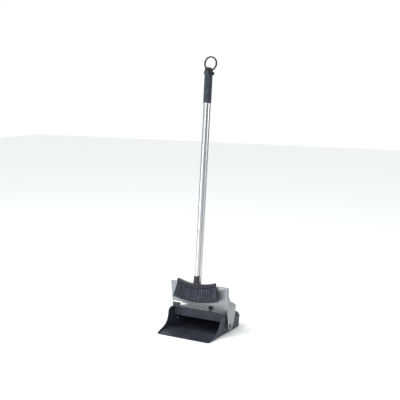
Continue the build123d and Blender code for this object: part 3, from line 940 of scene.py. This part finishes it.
stations = []
for step in range(BLOCK_STATIONS + 1):
    share = -1 + 2 * step / BLOCK_STATIONS
    stations.append(BLOCK_HALF * math.sin(share * math.pi / 2) * 0.35 + BLOCK_HALF * share * 0.65)
block_rows = [[brush_foot + POLE @ Vector(p) for p in block_section(x)] for x in stations]
block_points, block_faces = skin(block_rows)
last_row = len(block_points) - len(block_rows[0])
block_faces += [tuple(range(len(block_rows[0]) - 1)), tuple(range(last_row, len(block_points) - 1))[::-1]]
block = piece("brush_bar", block_points, block_faces, 40)
keep(block, block_plastic, "brush", ["brush_block"])
socket = turned("pole_socket",
                [(19, -4.4), (16.2, -3.2), (14.3, -1), (13.2, 3), (12.5, 12), (12.1, 26), (12.1, 27.2),
                 (12.5, 27.8), (12.5, 28.6), (11.9, 29.2), (9.15, 29.2), (9.05, 28), (9.05, 0)],
                brush_foot, POLE, 72, 50)
SOCKET_HALF = BLOCK_DEPTH / 2 - 1.2
for vertex in socket.data.vertices:
    local = POLE.transposed() @ (vertex.co / MM - brush_foot)
    if local.z < 0:
        local.y = max(-SOCKET_HALF, min(SOCKET_HALF, local.y))
        vertex.co = (brush_foot + POLE @ local) * MM
keep(socket, trim_plastic, "brush")

# -------------------------------------------------------------- the bristles
# Tufts of dark grey-blue crimped fibre set in rows of holes under the bar.
# They flare outwards, and their ends are trimmed to a shallow curve.
bristle_fibre = Finish("bristle_fibre", Roughness=0.55, IOR=1.5)
fibre_tone = bristle_fibre.grain(420, 2, 0.6, (1, 1, 0.06))
fibre_patch = bristle_fibre.grain(60, 3, 0.6)
pale_fibres = bristle_fibre.ramp(fibre_tone * 0.7 + fibre_patch * 0.3, 0.35, 0.68)
bristle_fibre.set(Base_Color=bristle_fibre.blend(pale_fibres, (0.03, 0.035, 0.05), (0.17, 0.2, 0.26)),
                  Roughness=0.55 + (fibre_patch - 0.5) * 0.16)
bristle_fibre.bump(fibre_tone, 0.15, 0.0001)
FIBRE_R = 0.27
FIBRE_LEVELS = 5
FIBRE_SIDES = 3
fibre_points, fibre_faces = [], []
for level in range(FIBRE_LEVELS):
    along = level / (FIBRE_LEVELS - 1)
    crimp = 0.5 * along * math.sin(along * 7)
    thin = FIBRE_R * (1 - 0.3 * along)
    for side in range(FIBRE_SIDES):
        around = math.tau * side / FIBRE_SIDES
        fibre_points.append((crimp + thin * math.cos(around), thin * math.sin(around), -along))
for upper in range(0, FIBRE_SIDES * (FIBRE_LEVELS - 1), FIBRE_SIDES):
    lower = upper + FIBRE_SIDES
    for side in range(FIBRE_SIDES):
        beside = (side + 1) % FIBRE_SIDES
        fibre_faces.append((lower + side, lower + beside, upper + beside, upper + side))
fibre_faces += [(0, 1, 2), (lower + 2, lower + 1, lower)]
fibre_mesh = bpy.data.meshes.new("fibre")
fibre_mesh.from_pydata([(x * MM, y * MM, z * MM) for x, y, z in fibre_points], [], fibre_faces)
fibre_mesh.shade_smooth()
fibre = bpy.data.objects.new("fibre", fibre_mesh)
bpy.context.collection.objects.link(fibre)


class Weave:
    """Builds a Geometry Nodes tree in short steps."""

    def __init__(self, name):
        self.tree = bpy.data.node_groups.new(name, "GeometryNodeTree")
        self.tree.interface.new_socket("Geometry", in_out="OUTPUT", socket_type="NodeSocketGeometry")
        self.inputs = {}
        self.group_in = self.tree.nodes.new("NodeGroupInput")
        self.group_out = self.tree.nodes.new("NodeGroupOutput")

    def ask(self, name, kind, value=None):
        socket = self.tree.interface.new_socket(name, in_out="INPUT", socket_type="NodeSocket" + kind)
        if value is not None:
            socket.default_value = value
        self.inputs[name] = socket.identifier
        return self.group_in.outputs[name]

    def add(self, kind, settings, inputs, output=0):
        node = self.tree.nodes.new(kind)
        for name, value in settings.items():
            setattr(node, name, value)
        for name, value in inputs.items():
            if isinstance(value, bpy.types.NodeSocket):
                self.tree.links.new(value, node.inputs[name])
            else:
                node.inputs[name].default_value = value
        return node.outputs[output]

    def math(self, operation, first, second=0.0):
        return self.add("ShaderNodeMath", {"operation": operation}, {0: first, 1: second})

    def chance(self, low, high, seed):
        return self.add("FunctionNodeRandomValue", {"data_type": "FLOAT"},
                        {2: low, 3: high, "Seed": seed}, 1)

    def join(self, x=0.0, y=0.0, z=0.0):
        return self.add("ShaderNodeCombineXYZ", {}, {0: x, 1: y, 2: z})


tufts = Weave("bristle_tufts")
columns = tufts.ask("Columns", "Int", 17)
rows = tufts.ask("Rows", "Int", 4)
row_length = tufts.ask("Row length", "Float", 0.172)
row_depth = tufts.ask("Row depth", "Float", 0.0135)
sag = tufts.ask("Sag", "Float", 1.0)
per_tuft = tufts.ask("Fibres per tuft", "Int", 66)
tuft_radius = tufts.ask("Tuft radius", "Float", 0.0025)
fibre_length = tufts.ask("Fibre length", "Float", 0.0628)
end_length = tufts.ask("Extra length to the ends", "Float", 0.46)
flare = tufts.ask("Flare", "Float", 2.35)
side_flare = tufts.ask("Side flare", "Float", 17.0)
splay = tufts.ask("Splay", "Float", 7.0)
source = tufts.ask("Fibre", "Object")
grid = tufts.add("GeometryNodeMeshGrid", {}, {"Size X": row_length, "Size Y": row_depth,
                                              "Vertices X": columns, "Vertices Y": rows})
bunch = tufts.add("GeometryNodeDuplicateElements", {"domain": "POINT"},
                  {"Geometry": grid, "Amount": per_tuft})
out_from_middle = tufts.math("MULTIPLY", tufts.math("SQRT", tufts.chance(0.0, 1.0, 21)), tuft_radius)
round_about = tufts.chance(0.0, math.tau, 22)
aside = tufts.math("MULTIPLY", out_from_middle, tufts.math("COSINE", round_about))
ahead = tufts.math("MULTIPLY", out_from_middle, tufts.math("SINE", round_about))
where = tufts.add("GeometryNodeInputPosition", {}, {})
along_x, along_y = [tufts.add("ShaderNodeSeparateXYZ", {}, {"Vector": where}, axis) for axis in "XY"]
square = tufts.math("MULTIPLY", along_x, along_x)
planting = tufts.join(aside, ahead, tufts.math("MULTIPLY", square, sag))
planted = tufts.add("GeometryNodeSetPosition", {}, {"Geometry": bunch, "Offset": planting})
turn_x = tufts.math("ADD", tufts.math("MULTIPLY", along_y, side_flare),
                    tufts.math("MULTIPLY", ahead, splay))
turn_y = tufts.math("ADD", tufts.math("MULTIPLY", along_x, flare),
                    tufts.math("MULTIPLY", aside, splay))
turn_x = tufts.math("ADD", turn_x, tufts.chance(-0.015, 0.015, 7))
turn_y = tufts.math("ADD", turn_y, tufts.chance(-0.012, 0.012, 8))
lean = tufts.join(turn_x, tufts.math("MULTIPLY", turn_y, -1.0))
reach_down = tufts.math("ADD", tufts.math("ADD", fibre_length, tufts.math("MULTIPLY", square, end_length)),
                        tufts.chance(-0.0016, 0.0002, 3))
stretch = tufts.join(1.0, 1.0, tufts.math("DIVIDE", reach_down, MM))
one_fibre = tufts.add("GeometryNodeObjectInfo", {}, {"Object": source}, "Geometry")
hung = tufts.add("GeometryNodeInstanceOnPoints", {}, {"Points": planted, "Instance": one_fibre,
                                                      "Rotation": lean, "Scale": stretch})
spin = tufts.join(0.0, 0.0, tufts.chance(0.0, math.tau, 5))
spun = tufts.add("GeometryNodeRotateInstances", {}, {"Instances": hung, "Rotation": spin})
real = tufts.add("GeometryNodeRealizeInstances", {}, {"Geometry": spun})
dressed = tufts.add("GeometryNodeSetMaterial", {},
                    {"Geometry": real, "Material": bristle_fibre.material})
tufts.tree.links.new(dressed, tufts.group_out.inputs[0])


def bake(name, weave, values):
    """Runs a tree on an empty mesh and keeps the result as a plain mesh."""
    holder = bpy.data.objects.new(name + "_holder", bpy.data.meshes.new(name + "_holder"))
    modifier = holder.modifiers.new("nodes", "NODES")
    modifier.node_group = weave.tree
    for label, value in values.items():
        modifier[weave.inputs[label]] = value
    return settled(holder)


bar_sag = (END_LOW - MID_LOW) / (BLOCK_HALF ** 2 * MM)
bristle_mesh = bake("bristles", tufts, {"Fibre": fibre, "Sag": bar_sag})
bpy.data.objects.remove(fibre)
HOLE_DEPTH = 1.2
for vertex in bristle_mesh.vertices:
    vertex.co = (brush_foot + POLE @ (vertex.co / MM + Vector((0, 0, MID_LOW + HOLE_DEPTH)))) * MM
bristle_tufts = bpy.data.objects.new("bristle_tufts", bristle_mesh)
bpy.context.collection.objects.link(bristle_tufts)
keep(bristle_tufts, bristle_fibre, "brush", ["bristles"])
